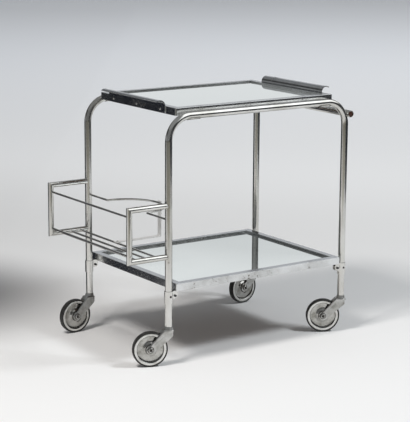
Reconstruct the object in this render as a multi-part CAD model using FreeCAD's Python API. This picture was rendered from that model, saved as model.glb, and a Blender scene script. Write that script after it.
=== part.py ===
import FreeCAD, Part
import os
from math import acos, asin, atan2, cos, degrees, hypot, radians, sin, sqrt

# Serving trolley on four swivel casters, of bent nickel-plated tube, with a fixed lower tray,
# a lift-off upper tray with curled handles, a bottle rack and a half ring for an ice bucket.
# Millimetres. X runs along the long sides, towards the push bar, Y away from the front, Z up.
# The floor is Z = 0, and the origin is under the middle of the whole trolley.

V = FreeCAD.Vector
X_AXIS, Y_AXIS, Z_AXIS = V(1, 0, 0), V(0, 1, 0), V(0, 0, 1)
ZERO = V(0, 0, 0)

# Side frames: one tube each, bent to an upside-down U
leg_span_x = 604.0
leg_span_y = 425.0
tube_d = 20.0
tube_wall = 1.5
bend_r = 68.0
top_axis_z = 685.0
leg_foot_z = 110.5

# Push bar, brazed outside the bends of the right legs
bar_d = 20.0
bar_wall = 1.5
bar_overhang = 11.0
bar_lean_deg = 20.0
bar_saddle = 1.0
plug_depth = 12.0
plug_recess = 1.5

# Bottle rack: two mitred tube brackets joined by rods
rack_tube_d = 16.0
rack_tube_wall = 1.5
rack_reach = 124.5
rack_top_z = 446.0
rack_floor_z = 305.0
rod_d = 6.0
rod_end_proud = 1.2
rod_seat = 4.0
upper_rail_drop = 18.5
lower_rail_rise = 16.0
floor_rod_shares = (0.25, 0.5, 0.75)

# Ice bucket rail: a rod between the left legs, bent out to a half ring
ring_r = 104.0
ring_z = 406.5
ring_corner_r = 4.0

# Strap from the ring down and back to the rack floor
strap_w = 16.0
strap_t = 2.5
strap_bend_r = 5.0
strap_tail_len = 8.0
strap_head = 1.0
strap_rivet_d = 4.0
strap_rivet_head_d = 7.0
strap_rivet_head_h = 2.0

# Section of the folded rail round each tray
rail_h = 20.5
rail_sheet = 1.5
rail_flange_w = 20.0
rail_foot_w = 9.0
rail_corner_r = 4.0
rail_edge_r = 1.2
glass_t = 4.0
plate_gap = 0.5

# Lower tray
low_tray_top_z = 229.5
low_tray_end_gap = 7.0
low_tray_side_out = 14.5
low_tray_recess = 6.0

# Upper tray
top_tray_drop = 1.0
top_tray_end_in = 33.5
top_tray_side_gap = 7.5
top_tray_recess = 4.0

# Thin gap left between a formed piece and the tube that it hugs
hug_gap = 0.15

# Clamp collars that carry the lower tray
collar_d = 24.0
collar_h = 34.0
ear_reach = 26.8
ear_w = 11.0
ear_h = 22.0
ear_corner_r = 8.0
ear_slot = 1.6
clamp_bolt_d = 4.0
clamp_bolt_in = 18.0
clamp_bolt_drop = 14.0
clamp_head_d = 6.6
clamp_head_h = 3.0
clamp_nut_flats = 7.0
clamp_nut_h = 3.0
collar_screw_d = 3.0
collar_screw_head_d = 6.8
collar_screw_head_h = 1.6
collar_screw_sink = 0.2

# Rests that carry the upper tray, one saddle near each end of each top tube
rest_in = 78.0
rest_len = 38.0
rest_t = 2.0
rest_shelf_in = 17.5
rest_wrap_deg = 145.0
rest_rivet_pitch = 32.0
rest_rivet_deg = 132.0
rest_rivet_d = 2.6
rest_rivet_head_d = 4.6
rest_rivet_head_h = 1.5
rest_rivet_sink = 0.35

# Curled handles on the ends of the upper tray
handle_len = 290.0
handle_t = 2.0
handle_curl_r = 17.0
handle_rise = 16.8
handle_curl_deg = 130.0
handle_foot_up = 1.5
handle_corner_r = 4.0
handle_screw_in = 24.0
handle_screw_d = 2.8
handle_screw_len = 12.0
handle_screw_head_d = 6.4
handle_screw_head_h = 2.2

# Casters
wheel_r = 49.5
trail_len = 52.0
stem_d = 10.0
stem_up = 34.0
stem_head_d = 14.0
stem_head_h = 2.0
run_clear = 0.05
end_gap = 0.3
ferrule_h = 7.5
ferrule_d = 26.0
ferrule_top_d = 21.5
socket_len = 38.0
fork_w = 25.4
fork_sheet = 2.5
fork_bend_r = 4.0
fork_lead = 16.0
fork_lead_drop = 5.0
fork_lead_h = 8.0
fork_back = 23.0
fork_back_drop = 8.5
land_lead = 9.0
land_back = 15.0
crown_bend_r = 5.0
cheek_r = 13.0
cheek_rib_w = 9.0
cheek_rib_proud = 0.8
cheek_rib_shares = (0.32, 0.8)
axle_d = 8.0
axle_head_d = 18.0
axle_head_h = 3.5
axle_dimple_d = 9.0
axle_dimple_depth = 2.0
bush_d = 11.0
hub_d = 27.0
hub_half_w = 9.9
hub_shoulder_w = 1.6
dish_out_r = 36.5
dish_out_half_w = 4.2
dish_in_half_w = 7.2
dish_sag_w = 1.4
rim_in_r = 38.5
rim_out_r = 45.6
rim_half_w = 7.6
rim_edge = 0.8
groove_r = 42.2
groove_half_w = 5.5
tyre_half_w = 9.0
tyre_shoulder_w = 1.4
tyre_crown_h = 0.9
swivel_deg = {"front_left": 160.0, "front_right": 149.0, "back_left": 184.0, "back_right": 186.0}

# Worked out from the sizes above
tube_r = tube_d / 2
bore_r = tube_r - tube_wall
leg_x = leg_span_x / 2
leg_y = leg_span_y / 2
rack_x = -leg_x - rack_reach
bar_offset = bend_r + tube_r + bar_d / 2 - bar_saddle
bar_x = leg_x - bend_r + bar_offset * cos(radians(bar_lean_deg))
bar_z = top_axis_z - bend_r + bar_offset * sin(radians(bar_lean_deg))
middle_x = (bar_x + bar_d / 2 + rack_x - rack_tube_d / 2) / 2
upper_rail_z = rack_top_z - upper_rail_drop
lower_rail_z = rack_floor_z + lower_rail_rise
rest_x = leg_x - rest_in
low_half_x = leg_x - tube_r - low_tray_end_gap
low_half_y = leg_y + low_tray_side_out
low_tray_z = low_tray_top_z - rail_h
top_half_x = leg_x - top_tray_end_in
top_half_y = leg_y - tube_r - top_tray_side_gap
top_tray_z = top_axis_z - top_tray_drop
fork_top_z = leg_foot_z - ferrule_h - end_gap
fork_under_z = fork_top_z - fork_sheet
overrun = 2 * tube_d
corners = {"front_left": (-leg_x, -leg_y), "front_right": (leg_x, -leg_y),
           "back_left": (-leg_x, leg_y), "back_right": (leg_x, leg_y)}

nodes = {}


def add(name, shape):
    # Keeps a finished piece and moves it so that the origin is mid-way along the trolley
    moved = shape.copy()
    moved.translate(V(-middle_x, 0, 0))
    nodes[name] = moved


def rod(start, end, diameter):
    # A round bar from one point to another
    return Part.makeCylinder(diameter / 2, (end - start).Length, start, end - start)


def box(x0, x1, y0, y1, z0, z1):
    # A block between two corners, given in any order
    lows = V(min(x0, x1), min(y0, y1), min(z0, z1))
    return Part.makeBox(abs(x1 - x0), abs(y1 - y0), abs(z1 - z0), lows)


def group(shapes):
    # Like pieces kept as separate solids in one node
    return Part.makeCompound([solid for shape in shapes for solid in shape.Solids])


def cut_all(shape, tools):
    # Takes each tool's space out of a piece
    for tool in tools:
        shape = shape.cut(tool)
    return shape


def mirrored(shape, normal):
    # The same piece on the other side of the trolley's middle
    return shape.mirror(ZERO, normal)


def lines(*points):
    # Straight edges from point to point
    return [Part.LineSegment(a, b).toShape() for a, b in zip(points, points[1:])]


def plate(edges, depth):
    # A closed outline, in any order of its edges, made solid
    return Part.Face(Part.Wire(Part.__sortEdges__(edges))).extrude(depth)


def arc(centre, radius, start_deg, end_deg, across, up):
    # An arc in the plane of two unit vectors
    def at(angle):
        return centre + across * (radius * cos(radians(angle))) + up * (radius * sin(radians(angle)))
    return Part.Arc(at(start_deg), at((start_deg + end_deg) / 2), at(end_deg)).toShape()


def bent_bar(edges, diameter):
    # A round bar along lines and tangent arcs
    pieces = []
    for edge in edges:
        start = edge.valueAt(edge.FirstParameter)
        circle = Part.Circle(start, edge.tangentAt(edge.FirstParameter), diameter / 2)
        disc = Part.Face(Part.Wire(circle.toShape()))
        if isinstance(edge.Curve, Part.Circle):
            turn = degrees(edge.LastParameter - edge.FirstParameter)
            pieces.append(disc.revolve(edge.Curve.Center, edge.Curve.Axis, turn))
        else:
            pieces.append(disc.extrude(edge.valueAt(edge.LastParameter) - start))
    return pieces[0].multiFuse(pieces[1:]).removeSplitter()


def side_path(y):
    # The middle line of a side frame: leg, bend, top run, bend, leg
    left, right = -leg_x + bend_r, leg_x - bend_r
    low = top_axis_z - bend_r
    return [*lines(V(-leg_x, y, leg_foot_z), V(-leg_x, y, low)),
            arc(V(left, y, low), bend_r, 180, 90, X_AXIS, Z_AXIS),
            *lines(V(left, y, top_axis_z), V(right, y, top_axis_z)),
            arc(V(right, y, low), bend_r, 90, 0, X_AXIS, Z_AXIS),
            *lines(V(leg_x, y, low), V(leg_x, y, leg_foot_z))]


def push_bar(frames):
    # The bar's tube is notched where it sits on the two bends
    half = leg_y + bar_overhang
    ends = V(bar_x, -half, bar_z), V(bar_x, half, bar_z)
    bar = rod(ends[0], ends[1], bar_d).cut(rod(ends[0], ends[1], bar_d - 2 * bar_wall))
    return bar.cut(frames[0]).cut(frames[1])


def bar_plugs():
    # Turned plugs set a little inside both ends of the push bar
    out = leg_y + bar_overhang - plug_recess
    front = rod(V(bar_x, -out, bar_z), V(bar_x, -out + plug_depth, bar_z), bar_d - 2 * bar_wall)
    return group([front, mirrored(front, Y_AXIS)])


def rack_corners(y, outset):
    # The bracket's outline, drawn outside or inside the tubes' middle line
    out_x = rack_x - outset
    return [V(-leg_x, y, rack_top_z + outset), V(out_x, y, rack_top_z + outset),
            V(out_x, y, rack_floor_z - outset), V(-leg_x, y, rack_floor_z - outset)]


def rack_bracket(y, frame, rods):
    # Three lengths of tube, mitred like a picture frame, with the ends shaped to the leg
    radius = rack_tube_d / 2
    middle = rack_corners(y, 0)
    outer, inner = rack_corners(y - radius, radius), rack_corners(y - radius, -radius)
    lengths = []
    for k in range(len(middle) - 1):
        mitre = Part.Face(Part.makePolygon([outer[k], outer[k + 1], inner[k + 1], inner[k], outer[k]]))
        extra = (middle[k + 1] - middle[k]).normalize() * radius
        start, end = middle[k] - extra, middle[k + 1] + extra
        tube = rod(start, end, rack_tube_d).cut(rod(start, end, rack_tube_d - 2 * rack_tube_wall))
        lengths.append(tube.common(mitre.extrude(V(0, rack_tube_d, 0))))
    return cut_all(lengths[0].multiFuse(lengths[1:]).removeSplitter(), [frame] + rods)


def outer_rail(z):
    # A rod that runs through both brackets' uprights and shows a small end on each
    half = leg_y + rack_tube_d / 2 + rod_end_proud
    return rod(V(rack_x, -half, z), V(rack_x, half, z), rod_d)


def floor_rods():
    # The rods that the bottles stand on, let into the brackets' lower tubes
    half = leg_y - rack_tube_d / 2 + rod_seat
    places = [-leg_x - rack_reach * share for share in floor_rod_shares]
    return [rod(V(x, -half, rack_floor_z), V(x, half, rack_floor_z), rod_d) for x in places]


def bucket_rail(frames):
    # One rod: leg, sharp bend, half ring, sharp bend, leg
    turn_x = -leg_x + ring_corner_r
    turn_y = sqrt((ring_r + ring_corner_r) ** 2 - ring_corner_r ** 2)
    touch_deg = degrees(atan2(turn_y, ring_corner_r))
    back, front = V(turn_x, turn_y, ring_z), V(turn_x, -turn_y, ring_z)
    edges = [Part.LineSegment(V(-leg_x, leg_y, ring_z), V(-leg_x, turn_y, ring_z)).toShape(),
             arc(back, ring_corner_r, 180, 180 + touch_deg, X_AXIS, Y_AXIS),
             arc(V(-leg_x, 0, ring_z), ring_r, touch_deg, -touch_deg, X_AXIS, Y_AXIS),
             arc(front, ring_corner_r, 180 - touch_deg, 180, X_AXIS, Y_AXIS),
             Part.LineSegment(V(-leg_x, -turn_y, ring_z), V(-leg_x, -leg_y, ring_z)).toShape()]
    return bent_bar(edges, rod_d).cut(frames[0]).cut(frames[1])


def strap(drills):
    # A flat strap: along the rack floor, bent up, and riveted outside the ring
    y = -strap_w / 2
    tail_x = -leg_x - rack_reach * floor_rod_shares[0] - strap_tail_len
    face_x = -leg_x + ring_r + rod_d / 2
    low = rack_floor_z + rod_d / 2
    high = ring_z + rod_d / 2 + strap_head
    bend = V(face_x - strap_bend_r, y, low + strap_t + strap_bend_r)
    edges = [arc(bend, strap_bend_r + strap_t, -90, 0, X_AXIS, Z_AXIS),
             arc(bend, strap_bend_r, -90, 0, X_AXIS, Z_AXIS)]
    edges += lines(V(bend.x, y, low), V(tail_x, y, low), V(tail_x, y, low + strap_t),
                   V(bend.x, y, low + strap_t))
    edges += lines(V(face_x + strap_t, y, bend.z), V(face_x + strap_t, y, high), V(face_x, y, high),
                   V(face_x, y, bend.z))
    return cut_all(plate(edges, V(0, strap_w, 0)), drills)


def fastener(seat, outward, shank_d, head_d, head_h, depth):
    # A round-headed rivet or screw with its head's flat side on the seat, and what the drill
    # takes away for it: the hole, and a flat for the head where the seat is round
    ball_r = (head_d ** 2 / 4 + head_h ** 2) / (2 * head_h)
    half_deg = degrees(asin(head_d / 2 / ball_r))
    crown = arc(V(0, 0, head_h - ball_r), ball_r, 90 - half_deg, 90, X_AXIS, Z_AXIS)
    edges = lines(V(0, 0, head_h), V(0, 0, -depth), V(shank_d / 2, 0, -depth), V(shank_d / 2, 0, 0),
                  V(head_d / 2, 0, 0))
    piece = Part.Face(Part.Wire(edges + [crown])).revolve(ZERO, Z_AXIS, 360)
    hole = Part.makeCylinder(shank_d / 2, depth, V(0, 0, -depth))
    drill = hole.fuse(Part.makeCylinder(head_d / 2 + hug_gap, head_d))
    for shape in (piece, drill):
        shape.Placement = FreeCAD.Placement(seat, FreeCAD.Rotation(Z_AXIS, outward))
    return piece, drill


def strap_fasteners():
    # One rivet through the ring, and one through the innermost rod of the rack floor
    ring_seat = V(-leg_x + ring_r + rod_d / 2 + strap_t, 0, ring_z)
    rod_x = -leg_x - rack_reach * floor_rod_shares[0]
    floor_seat = V(rod_x, 0, rack_floor_z + rod_d / 2 + strap_t)
    depth = strap_t + rod_d
    return [fastener(seat, out, strap_rivet_d, strap_rivet_head_d, strap_rivet_head_h, depth)
            for seat, out in ((ring_seat, X_AXIS), (floor_seat, Z_AXIS))]


def slab(half_x, half_y, z0, z1, corner):
    # A flat block with rounded upright corners
    block = box(-half_x, half_x, -half_y, half_y, z0, z1)
    if corner <= 0:
        return block
    upright = [edge for edge in block.Edges if abs(edge.tangentAt(edge.FirstParameter).z) > cos(radians(1))]
    return block.makeFillet(corner, upright)


def tray_frame(half_x, half_y, z, recess):
    # Folded rail: outer wall, top flange, inner lip down to the board, and a narrow foot
    top = z + rail_h
    inner_corner = rail_corner_r - rail_sheet
    lip_x, lip_y = half_x - rail_flange_w, half_y - rail_flange_w
    outside = slab(half_x, half_y, z, top, rail_corner_r)
    rims = [edge for edge in outside.Edges if edge.BoundBox.ZMin > (z + top) / 2]
    outside = outside.makeFillet(rail_edge_r, rims)
    hollow = slab(half_x - rail_sheet, half_y - rail_sheet, z + rail_sheet, top - rail_sheet, inner_corner)
    hollow = hollow.cut(box(-lip_x - rail_sheet, lip_x + rail_sheet, -lip_y - rail_sheet,
                            lip_y + rail_sheet, top - recess - glass_t, top))
    window = box(-lip_x, lip_x, -lip_y, lip_y, z, top + overrun)
    foot_x, foot_y = half_x - rail_foot_w, half_y - rail_foot_w
    under = box(-foot_x, foot_x, -foot_y, foot_y, z - overrun, z + rail_sheet)
    return outside.cut(hollow).cut(window).cut(under)


def tray_plates(half_x, half_y, z, recess):
    # The mirror that drops in between the lips, and the board that fills the rail below it
    inset = rail_sheet + plate_gap
    edge = rail_flange_w + plate_gap
    glass_z = z + rail_h - recess - glass_t
    glass = box(edge - half_x, half_x - edge, edge - half_y, half_y - edge, glass_z, glass_z + glass_t)
    board = slab(half_x - inset, half_y - inset, z + rail_sheet, glass_z, rail_corner_r - inset)
    return glass, board


def collar(x, y, drills):
    # A split ring round the leg, with an ear that reaches under the tray
    inward = -1 if x > 0 else 1
    top = low_tray_z
    foot, head = V(x, y, top - collar_h), V(x, y, top)
    ear = box(x, x + inward * ear_reach, y - ear_w / 2, y + ear_w / 2, top - ear_h, top)
    tips = [edge for edge in ear.Edges if abs(edge.CenterOfMass.x - x) > ear_reach - hug_gap
            and edge.BoundBox.YLength > ear_w / 2]
    ear = ear.makeFillet(ear_corner_r, tips)
    slot = box(x, x + inward * (ear_reach + overrun), y - ear_slot / 2, y + ear_slot / 2,
               top - collar_h - overrun, top + overrun)
    ring = rod(foot, head, collar_d).fuse(ear).cut(rod(foot, head, tube_d + 2 * hug_gap)).cut(slot)
    return cut_all(ring, drills)


def clamp_bolt(x, y):
    # Round black head at the front of the ear, and a hexagon nut behind it
    inward = -1 if x > 0 else 1
    at_x, at_z = x + inward * clamp_bolt_in, low_tray_z - clamp_bolt_drop
    front, back = y - ear_w / 2, y + ear_w / 2
    shank = rod(V(at_x, front, at_z), V(at_x, back + clamp_nut_h, at_z), clamp_bolt_d)
    head = rod(V(at_x, front - clamp_head_h, at_z), V(at_x, front, at_z), clamp_head_d)
    corner_r = clamp_nut_flats / 2 / cos(radians(30))
    hexagon = [V(at_x + corner_r * cos(radians(60 * k)), back, at_z + corner_r * sin(radians(60 * k)))
               for k in range(7)]
    nut = Part.Face(Part.makePolygon(hexagon)).extrude(V(0, clamp_nut_h, 0))
    return shank.fuse(head).fuse(nut).removeSplitter(), shank


def collar_fastener(x, y):
    # A round-headed screw through the outer side of the collar into the leg
    side = -1 if y < 0 else 1
    head_r = collar_screw_head_d / 2 + hug_gap
    flat = sqrt(collar_d ** 2 / 4 - head_r ** 2) - collar_screw_sink
    seat = V(x, y + side * flat, low_tray_z - clamp_bolt_drop)
    return fastener(seat, V(0, side, 0), collar_screw_d, collar_screw_head_d, collar_screw_head_h,
                    flat - bore_r)


def rest_saddle(tools):
    # Front left rest: a plate wrapped under the tube that ends in a shelf for the tray
    inner, outer = tube_r + hug_gap, tube_r + hug_gap + rest_t
    shelf_drop = top_axis_z - top_tray_z
    shelf_deg = degrees(asin(shelf_drop / inner))
    under_deg = degrees(asin((shelf_drop + rest_t) / outer))
    centre = V(-rest_x - rest_len / 2, -leg_y, top_axis_z)
    hug = arc(centre, inner, -shelf_deg, -rest_wrap_deg, Y_AXIS, Z_AXIS)
    skin = arc(centre, outer, -rest_wrap_deg, -under_deg, Y_AXIS, Z_AXIS)
    tip = V(centre.x, -leg_y + tube_r + rest_shelf_in, top_tray_z)
    edges = [hug, skin] + lines(hug.Vertexes[1].Point, skin.Vertexes[0].Point)
    edges += lines(skin.Vertexes[1].Point, tip - V(0, 0, rest_t), tip, hug.Vertexes[0].Point)
    return cut_all(plate(edges, V(rest_len, 0, 0)), tools)


def rest_fasteners():
    # Two rivets through the outer lower side of the front left rest
    out = V(0, cos(radians(-rest_rivet_deg)), sin(radians(-rest_rivet_deg)))
    seat_r = tube_r + hug_gap + rest_t - rest_rivet_sink
    places = [-rest_x - rest_rivet_pitch / 2, -rest_x + rest_rivet_pitch / 2]
    seats = [V(x, -leg_y, top_axis_z) + out * seat_r for x in places]
    return [fastener(seat, out, rest_rivet_d, rest_rivet_head_d, rest_rivet_head_h, seat_r - bore_r)
            for seat in seats]


def four_ways(shapes):
    # The front left pieces, repeated at the other three corners
    both = shapes + [mirrored(each, X_AXIS) for each in shapes]
    return both + [mirrored(each, Y_AXIS) for each in both]


def left_handle(drills):
    # A plate on the tray's end that curls outwards over the fingers
    y = -handle_len / 2
    face_x = -top_half_x
    foot_z = top_tray_z + handle_foot_up
    centre = V(face_x - handle_curl_r, y, top_tray_z + rail_h + handle_rise - handle_curl_r)
    curl = arc(centre, handle_curl_r, 0, handle_curl_deg, X_AXIS, Z_AXIS)
    under = arc(centre, handle_curl_r - handle_t, 0, handle_curl_deg, X_AXIS, Z_AXIS)
    edges = [curl, under] + lines(curl.Vertexes[1].Point, under.Vertexes[1].Point)
    edges += lines(V(face_x, y, centre.z), V(face_x, y, foot_z), V(face_x - handle_t, y, foot_z),
                   V(face_x - handle_t, y, centre.z))
    shape = plate(edges, V(0, handle_len, 0))
    low = [edge for edge in shape.Edges
           if edge.BoundBox.ZMax < foot_z + handle_foot_up / 2 and edge.BoundBox.YLength < handle_t]
    return cut_all(shape.makeFillet(handle_corner_r, low), drills)


def left_handle_fasteners():
    # Three round-headed screws through the handle and the rail into the board's edge
    z = top_tray_z + rail_h / 2
    pitch = handle_len / 2 - handle_screw_in
    seats = [V(-top_half_x - handle_t, side * pitch, z) for side in (-1, 0, 1)]
    return [fastener(seat, -X_AXIS, handle_screw_d, handle_screw_head_d, handle_screw_head_h,
                     handle_screw_len) for seat in seats]


def placed(shape, name):
    # Turns a caster piece to its swivel angle and sets it under its leg
    x, y = corners[name]
    moved = shape.copy()
    moved.rotate(ZERO, Z_AXIS, swivel_deg[name])
    moved.translate(V(x, y, 0))
    return moved


def ferrule():
    # A flared foot under the leg with a socket that fills the tube's end
    low = leg_foot_z - ferrule_h
    flare = Part.makeCone(ferrule_d / 2, ferrule_top_d / 2, ferrule_h, V(0, 0, low), Z_AXIS)
    insert = rod(V(0, 0, leg_foot_z), V(0, 0, leg_foot_z + socket_len), 2 * bore_r)
    hole = rod(V(0, 0, low - overrun), V(0, 0, leg_foot_z + socket_len + overrun), stem_d + 2 * run_clear)
    return flare.fuse(insert).cut(hole).removeSplitter()


def stem():
    # The spindle that is riveted into the fork and turns in the leg's socket
    top = leg_foot_z + stem_up
    spindle = rod(V(0, 0, fork_under_z), V(0, 0, top), stem_d)
    head = rod(V(0, 0, fork_under_z - stem_head_h), V(0, 0, fork_under_z), stem_head_d)
    return spindle.fuse(head).removeSplitter()


def tangent_touch(point, centre, radius, side):
    # Where a line from a point touches a circle, in the plane of the fork's cheek
    dx, dz = point[0] - centre[0], point[1] - centre[1]
    angle = atan2(dz, dx) + side * acos(radius / hypot(dx, dz))
    return centre[0] + radius * cos(angle), centre[1] + radius * sin(angle)


def cheek_outline():
    # The side view of the fork up to its crown: round end at the axle below
    centre = (trail_len, wheel_r)
    lead_z, back_z = fork_top_z - fork_lead_drop - fork_lead_h, fork_top_z - fork_back_drop
    a = tangent_touch((-fork_lead, lead_z), centre, cheek_r, 1)
    b = tangent_touch((fork_back, back_z), centre, cheek_r, -1)
    under, over = V(a[0], 0, a[1]), V(b[0], 0, b[1])
    away = hypot(trail_len, wheel_r)
    end = V(trail_len + cheek_r * trail_len / away, 0, wheel_r - cheek_r * wheel_r / away)
    top = lines(over, V(fork_back, 0, back_z), V(fork_back, 0, fork_top_z), V(-fork_lead, 0, fork_top_z),
                V(-fork_lead, 0, lead_z), under)
    return top + [Part.Arc(under, end, over).toShape()]


def arched(half_w, sink, edge_r):
    # A long block with the crown's arched roof, rounded along both of its sides
    top, low = fork_top_z - sink, wheel_r - cheek_r - overrun
    reach = trail_len + cheek_r + overrun
    lead_z = top - fork_lead_drop * (reach - land_lead) / (fork_lead - land_lead)
    back_z = top - fork_back_drop * (reach - land_back) / (fork_back - land_back)
    y = -half_w
    block = plate(lines(V(-reach, y, low), V(-reach, y, lead_z), V(-land_lead, y, top), V(land_back, y, top),
                        V(reach, y, back_z), V(reach, y, low), V(-reach, y, low)), V(0, 2 * half_w, 0))
    bends = [e for e in block.Edges if e.BoundBox.ZMin > top - fork_sheet and e.BoundBox.YLength > half_w]
    block = block.makeFillet(crown_bend_r, bends)
    sides = [e for e in block.Edges if e.BoundBox.YLength < half_w and e.BoundBox.XLength > run_clear
             and e.BoundBox.ZMax > low + fork_sheet]
    return block.makeFillet(edge_r, sides)


def cheek_rib(width, low_y, depth):
    # A long rounded swelling on the line from the crown down to the axle
    axle_at, crown_at = V(trail_len, low_y, wheel_r), V(0, low_y, fork_top_z - cheek_r)
    way = crown_at - axle_at
    along = V(way).normalize()
    across = along.cross(Y_AXIS)
    ends = [axle_at + way * share for share in cheek_rib_shares]
    edges = [arc(ends[0], width / 2, 90, 270, along, across), arc(ends[1], width / 2, -90, 90, along, across)]
    for side in (across * (width / 2), across * (-width / 2)):
        edges += lines(ends[0] + side, ends[1] + side)
    return plate(edges, V(0, depth, 0))


def fork():
    # Sheet bent to an arched, upside-down U, with a round front edge and a rib pressed in each cheek
    half = fork_w / 2
    reach = trail_len + cheek_r + overrun
    room = arched(half - fork_sheet, fork_sheet, fork_bend_r - fork_sheet)
    mouth = box(fork_back, reach, fork_sheet - half, half - fork_sheet, 0, fork_top_z)
    sheet = arched(half, 0, fork_bend_r).cut(room).cut(mouth)
    side = [edge.translated(V(0, -half, 0)) for edge in cheek_outline()]
    shape = sheet.common(plate(side, V(0, fork_w, 0)))
    nose = rod(V(-fork_lead + half, 0, 0), V(-fork_lead + half, 0, fork_top_z), fork_w)
    tail = box(-fork_lead + half, reach, -half, half, 0, fork_top_z)
    shape = shape.common(nose.fuse(tail))
    rib = cheek_rib(cheek_rib_w, -half - cheek_rib_proud, cheek_rib_proud + fork_sheet / 2)
    pocket_y = fork_sheet - cheek_rib_proud - half
    pocket = cheek_rib(cheek_rib_w - 2 * cheek_rib_proud, pocket_y, cheek_rib_proud)
    shape = shape.fuse(rib).fuse(mirrored(rib, Y_AXIS)).cut(pocket).cut(mirrored(pocket, Y_AXIS))
    shape = shape.cut(rod(V(0, 0, 0), V(0, 0, fork_top_z + overrun), stem_d))
    return shape.cut(rod(V(trail_len, -fork_w, wheel_r), V(trail_len, fork_w, wheel_r), axle_d))


def axle():
    # A headed pin through both cheeks, with a small dimple in each head
    half = fork_w / 2
    pin = rod(V(trail_len, -half, wheel_r), V(trail_len, half, wheel_r), axle_d)
    for side in (-1, 1):
        seat, out = V(trail_len, side * half, wheel_r), V(0, side, 0)
        tip = seat + out * axle_head_h
        pin = pin.fuse(fastener(seat, out, axle_d, axle_head_d, axle_head_h, half)[0])
        pin = pin.cut(rod(tip - out * axle_dimple_depth, tip + out * axle_head_h, axle_dimple_d))
    return pin.removeSplitter()


def turned(points, arcs):
    # A solid of revolution about the wheel's axle, from (radius, offset) points.
    # arcs maps a point to the one that its edge to the next point bends through.
    ring = [V(trail_len + r, a, wheel_r) for r, a in points]
    edges = []
    for k, start in enumerate(ring):
        end = ring[(k + 1) % len(ring)]
        if points[k] in arcs:
            r, a = arcs[points[k]]
            edges.append(Part.Arc(start, V(trail_len + r, a, wheel_r), end).toShape())
        else:
            edges.append(Part.LineSegment(start, end).toShape())
    face = Part.Face(Part.Wire(edges))
    return face.revolve(V(trail_len, 0, wheel_r), Y_AXIS, 360)


def wheel_disc():
    # Pressed disc: hub, dished web, flat rim ring and a groove for the tyre
    half_profile = [(bush_d / 2, hub_half_w), (hub_d / 2 - hub_shoulder_w, hub_half_w),
                    (hub_d / 2, hub_half_w - hub_shoulder_w), (hub_d / 2, dish_in_half_w),
                    (dish_out_r, dish_out_half_w), (rim_in_r, rim_half_w),
                    (rim_out_r - rim_edge, rim_half_w), (rim_out_r, rim_half_w - rim_edge),
                    (rim_out_r, groove_half_w), (groove_r, groove_half_w)]
    points = half_profile + [(r, -a) for r, a in reversed(half_profile)]
    middle_r = (hub_d / 2 + dish_out_r) / 2
    middle_a = (dish_in_half_w + dish_out_half_w) / 2 - dish_sag_w
    arcs = {(hub_d / 2, dish_in_half_w): (middle_r, middle_a),
            (dish_out_r, -dish_out_half_w): (middle_r, -middle_a)}
    return turned(points, arcs)


def tyre():
    # A thin rubber band seated in the rim's groove, with a slightly crowned tread
    edge_r = wheel_r - tyre_crown_h
    edge = (edge_r, tyre_half_w - tyre_shoulder_w / 2)
    half_profile = [(groove_r, groove_half_w), (rim_out_r, groove_half_w),
                    (rim_out_r, tyre_half_w - tyre_shoulder_w),
                    (rim_out_r + tyre_shoulder_w, tyre_half_w), edge]
    points = half_profile + [(r, -a) for r, a in reversed(half_profile)]
    return turned(points, {edge: (wheel_r, 0)})


def bush():
    # The bronze bush that is pressed into the hub and runs on the axle
    profile = [(axle_d / 2 + run_clear, hub_half_w), (bush_d / 2, hub_half_w),
               (bush_d / 2, -hub_half_w), (axle_d / 2 + run_clear, -hub_half_w)]
    return turned(profile, {})


def build_frame():
    # The two bent tubes, the push bar, and what is fixed to the tubes
    bars = [bent_bar(side_path(y), tube_d) for y in (-leg_y, leg_y)]
    fronts, backs = [bar.cut(bent_bar(side_path(y), 2 * bore_r)) for bar, y in zip(bars, (-leg_y, leg_y))]
    around = bent_bar(side_path(-leg_y), tube_d + 2 * hug_gap)
    rivets, rivet_drills = zip(*rest_fasteners())
    all_drills = four_ways(list(rivet_drills))
    bolts, bolt_holes = zip(*[clamp_bolt(x, y) for x, y in corners.values()])
    screws, screw_drills = zip(*[collar_fastener(x, y) for x, y in corners.values()])
    collars = [collar(*place, (hole, drill))
               for place, hole, drill in zip(corners.values(), bolt_holes, screw_drills)]
    all_drills += screw_drills
    add("front_frame_tube", cut_all(fronts, [each for each in all_drills if each.BoundBox.YMax < 0]))
    add("back_frame_tube", cut_all(backs, [each for each in all_drills if each.BoundBox.YMin > 0]))
    add("push_handle_bar", push_bar(bars))
    add("bar_end_plugs", bar_plugs())
    add("tray_collars", group(collars))
    add("clamp_bolts", group(bolts))
    add("collar_screws", group(screws))
    add("tray_rests", group(four_ways([rest_saddle([around, *rivet_drills])])))
    add("rest_rivets", group(four_ways(list(rivets))))
    return bars


def build_rack(frame_bars):
    # Bottle rack and ice bucket ring at the left end
    rails = [outer_rail(upper_rail_z), outer_rail(lower_rail_z)]
    rods = floor_rods()
    rivets, drills = zip(*strap_fasteners())
    add("rack_front_bracket", rack_bracket(-leg_y, frame_bars[0], rails + rods))
    add("rack_back_bracket", rack_bracket(leg_y, frame_bars[1], rails + rods))
    add("rack_upper_rail", rails[0])
    add("rack_lower_rail", rails[1])
    add("rack_floor_rods", group([each.cut(drills[1]) for each in rods]))
    add("bucket_rail", bucket_rail(frame_bars).cut(drills[0]))
    add("bucket_strap", strap(drills))
    add("strap_rivets", group(rivets))


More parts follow.
